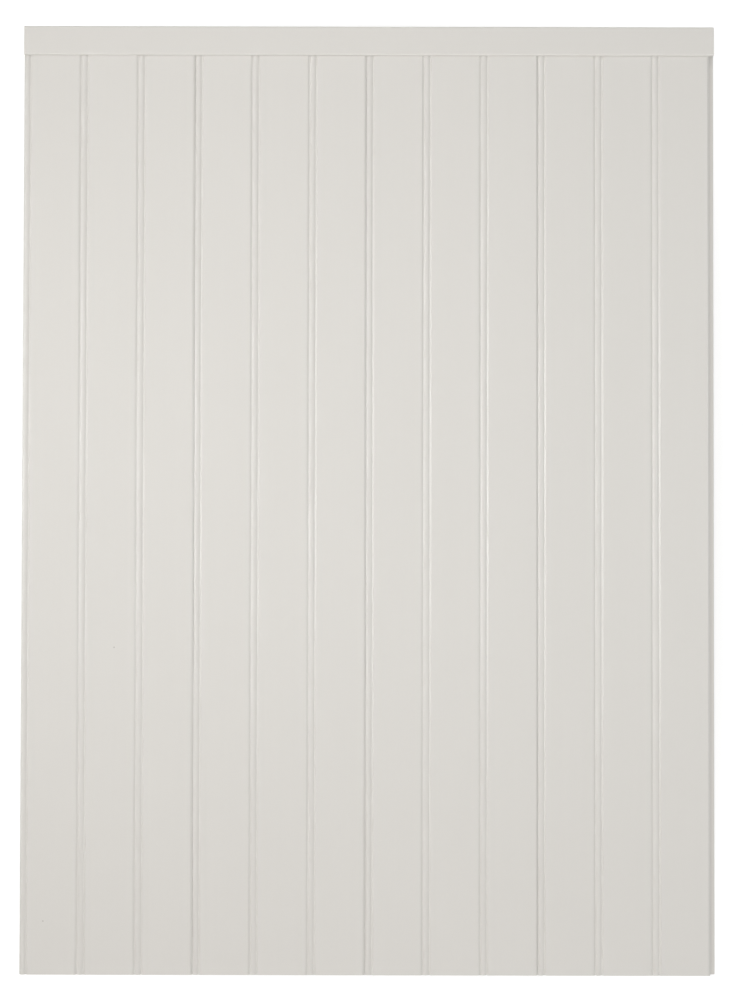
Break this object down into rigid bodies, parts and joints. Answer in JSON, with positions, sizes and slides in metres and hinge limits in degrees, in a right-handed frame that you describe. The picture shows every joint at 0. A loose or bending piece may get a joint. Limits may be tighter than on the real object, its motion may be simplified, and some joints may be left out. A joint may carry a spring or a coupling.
{
  "type": "wainscot panel",
  "caption": "Beadboard wainscot panel: flat interlocking planks with moulded beads, joined by tongue and groove under a plain rabbeted cap rail.",
  "frame": {"origin": "middle of the panel's flat back, at the floor it lies on", "axes": "+Z out of the panel's face, away from the wall; +Y up the panel as hung, towards the cap rail; +X across the planks, towards the bare tongue edge"},
  "size_m": [0.6044, 0.8266, 0.0115],
  "materials": {
    "painted_board": "satin",
    "painted_rail": "satin"
  },
  "bodies": {
    "root": {"plank_1": "painted_board", "plank_2": "painted_board", "plank_3": "painted_board", "plank_4": "painted_board", "cap_rail": "painted_rail"}
  },
  "joints": []
}
